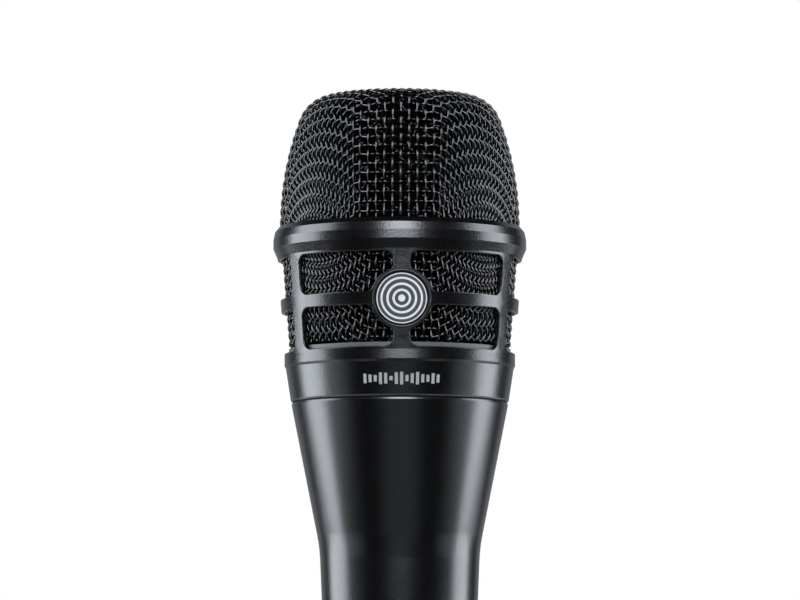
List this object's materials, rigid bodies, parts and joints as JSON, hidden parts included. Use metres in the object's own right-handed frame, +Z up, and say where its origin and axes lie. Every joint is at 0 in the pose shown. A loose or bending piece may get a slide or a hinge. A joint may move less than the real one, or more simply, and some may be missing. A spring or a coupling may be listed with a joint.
{
  "type": "dynamic microphone",
  "caption": "Handheld dynamic vocal microphone: woven wire head over a windowed cage ring, tapered handle, three-pole male connector recessed in the tail.",
  "frame": {"origin": "centre of the tail rim, the face the microphone stands on", "axes": "+Z runs up the microphone's axis from the tail to the head; the badge faces -Y; +X is to the right when looking at the badge"},
  "size_m": [0.0512, 0.0512, 0.1905],
  "materials": {
    "black_paint": "satin black powder coat",
    "grille_wire": "black painted woven steel wire",
    "liner": "black water-repellent cloth over open foam",
    "badge_metal": "turned and printed aluminium",
    "thread_brass": "machined brass",
    "thread_alloy": "machined and clear anodised",
    "seal_rubber": "black rubber",
    "inner_plastic": "moulded black plastic",
    "cartridge_shell": "satin anodised",
    "motor_steel": "zinc plated",
    "magnet_metal": "nickel plated sintered magnet",
    "copper_wire": "enamelled copper wire",
    "core_steel": "laminated core steel",
    "film": "clear polyester film",
    "cloth": "acoustic cloth",
    "holder_foam": "grey cell foam",
    "board": "green glass board",
    "board_trim": "dipped components",
    "lead_cover": "coloured wire insulation",
    "connector_shell": "satin nickel plated zinc",
    "connector_block": "moulded insulating block",
    "contact_plate": "gold plated brass"
  },
  "bodies": {
    "handle": {"handle_shell": "black_paint", "neck_thread_ring": "thread_alloy", "shock_mount_seat": "inner_plastic", "shock_mount": "seal_rubber", "connector_sleeve": "connector_shell", "connector_insulator": "connector_block", "connector_screw": "motor_steel", "earth_lug": "motor_steel", "contact_pin_1": "contact_plate", "contact_pin_2": "contact_plate", "contact_pin_3": "contact_plate", "contact_board": "board", "board_parts": "board_trim", "transformer_core": "core_steel", "transformer_winding": "copper_wire", "transformer_holder": "holder_foam", "handle_leads": "lead_cover", "cartridge_leads": "lead_cover"},
    "seal": {"seal_ring": "seal_rubber"},
    "head": {"grille_cage": "black_paint", "grille_ring": "black_paint", "grille_mesh": "grille_wire", "lower_mesh": "grille_wire", "windscreen_liner": "liner", "badge": "badge_metal", "badge_ring": "black_paint", "head_thread_ring": "thread_brass", "mesh_clamp_ring": "inner_plastic"},
    "cartridge": {"cartridge_housing": "cartridge_shell", "cartridge_rear_cap": "inner_plastic", "terminal_strip": "board", "rear_clamp_ring": "inner_plastic", "rear_chamber_cup": "inner_plastic", "magnet_yoke": "motor_steel", "magnet": "magnet_metal", "top_plate": "motor_steel", "humbucking_coil": "copper_wire", "motor_frame": "inner_plastic", "front_clamp_ring": "inner_plastic", "resonator_plate": "inner_plastic", "front_cloth": "cloth", "front_cap": "inner_plastic"},
    "front_moving": {"front_diaphragm": "film", "voice_coil": "copper_wire"},
    "rear_moving": {"rear_diaphragm": "film"}
  },
  "joints": [
    {"name": "head_rise", "type": "slide", "parent": "handle", "child": "seal", "axis": [0, 0, 1], "range_m": [0, 0.005]},
    {"name": "head_turn", "type": "hinge", "parent": "seal", "child": "head", "pos_m": [0, 0, 0.1277], "axis": [0, 0, 1], "range_deg": [0, 1800]},
    {"name": "cartridge_float", "type": "slide", "parent": "handle", "child": "cartridge", "axis": [0, 0, 1], "range_m": [-0.0008, 0.0008], "stiffness_N_per_m": 1800, "springref_m": 0.0003, "deforming": ["shock_mount", "cartridge_leads"]},
    {"name": "front_diaphragm_travel", "type": "slide", "parent": "cartridge", "child": "front_moving", "axis": [0, 0, 1], "range_m": [-0.0003, 0.0003], "stiffness_N_per_m": 90},
    {"name": "rear_diaphragm_travel", "type": "slide", "parent": "cartridge", "child": "rear_moving", "axis": [0, 0, 1], "range_m": [-0.0003, 0.0003], "stiffness_N_per_m": 90}
  ],
  "couplings": [
    {"joint": "head_rise", "follows": "head_turn", "m_per_rad": 0.00015915}
  ]
}
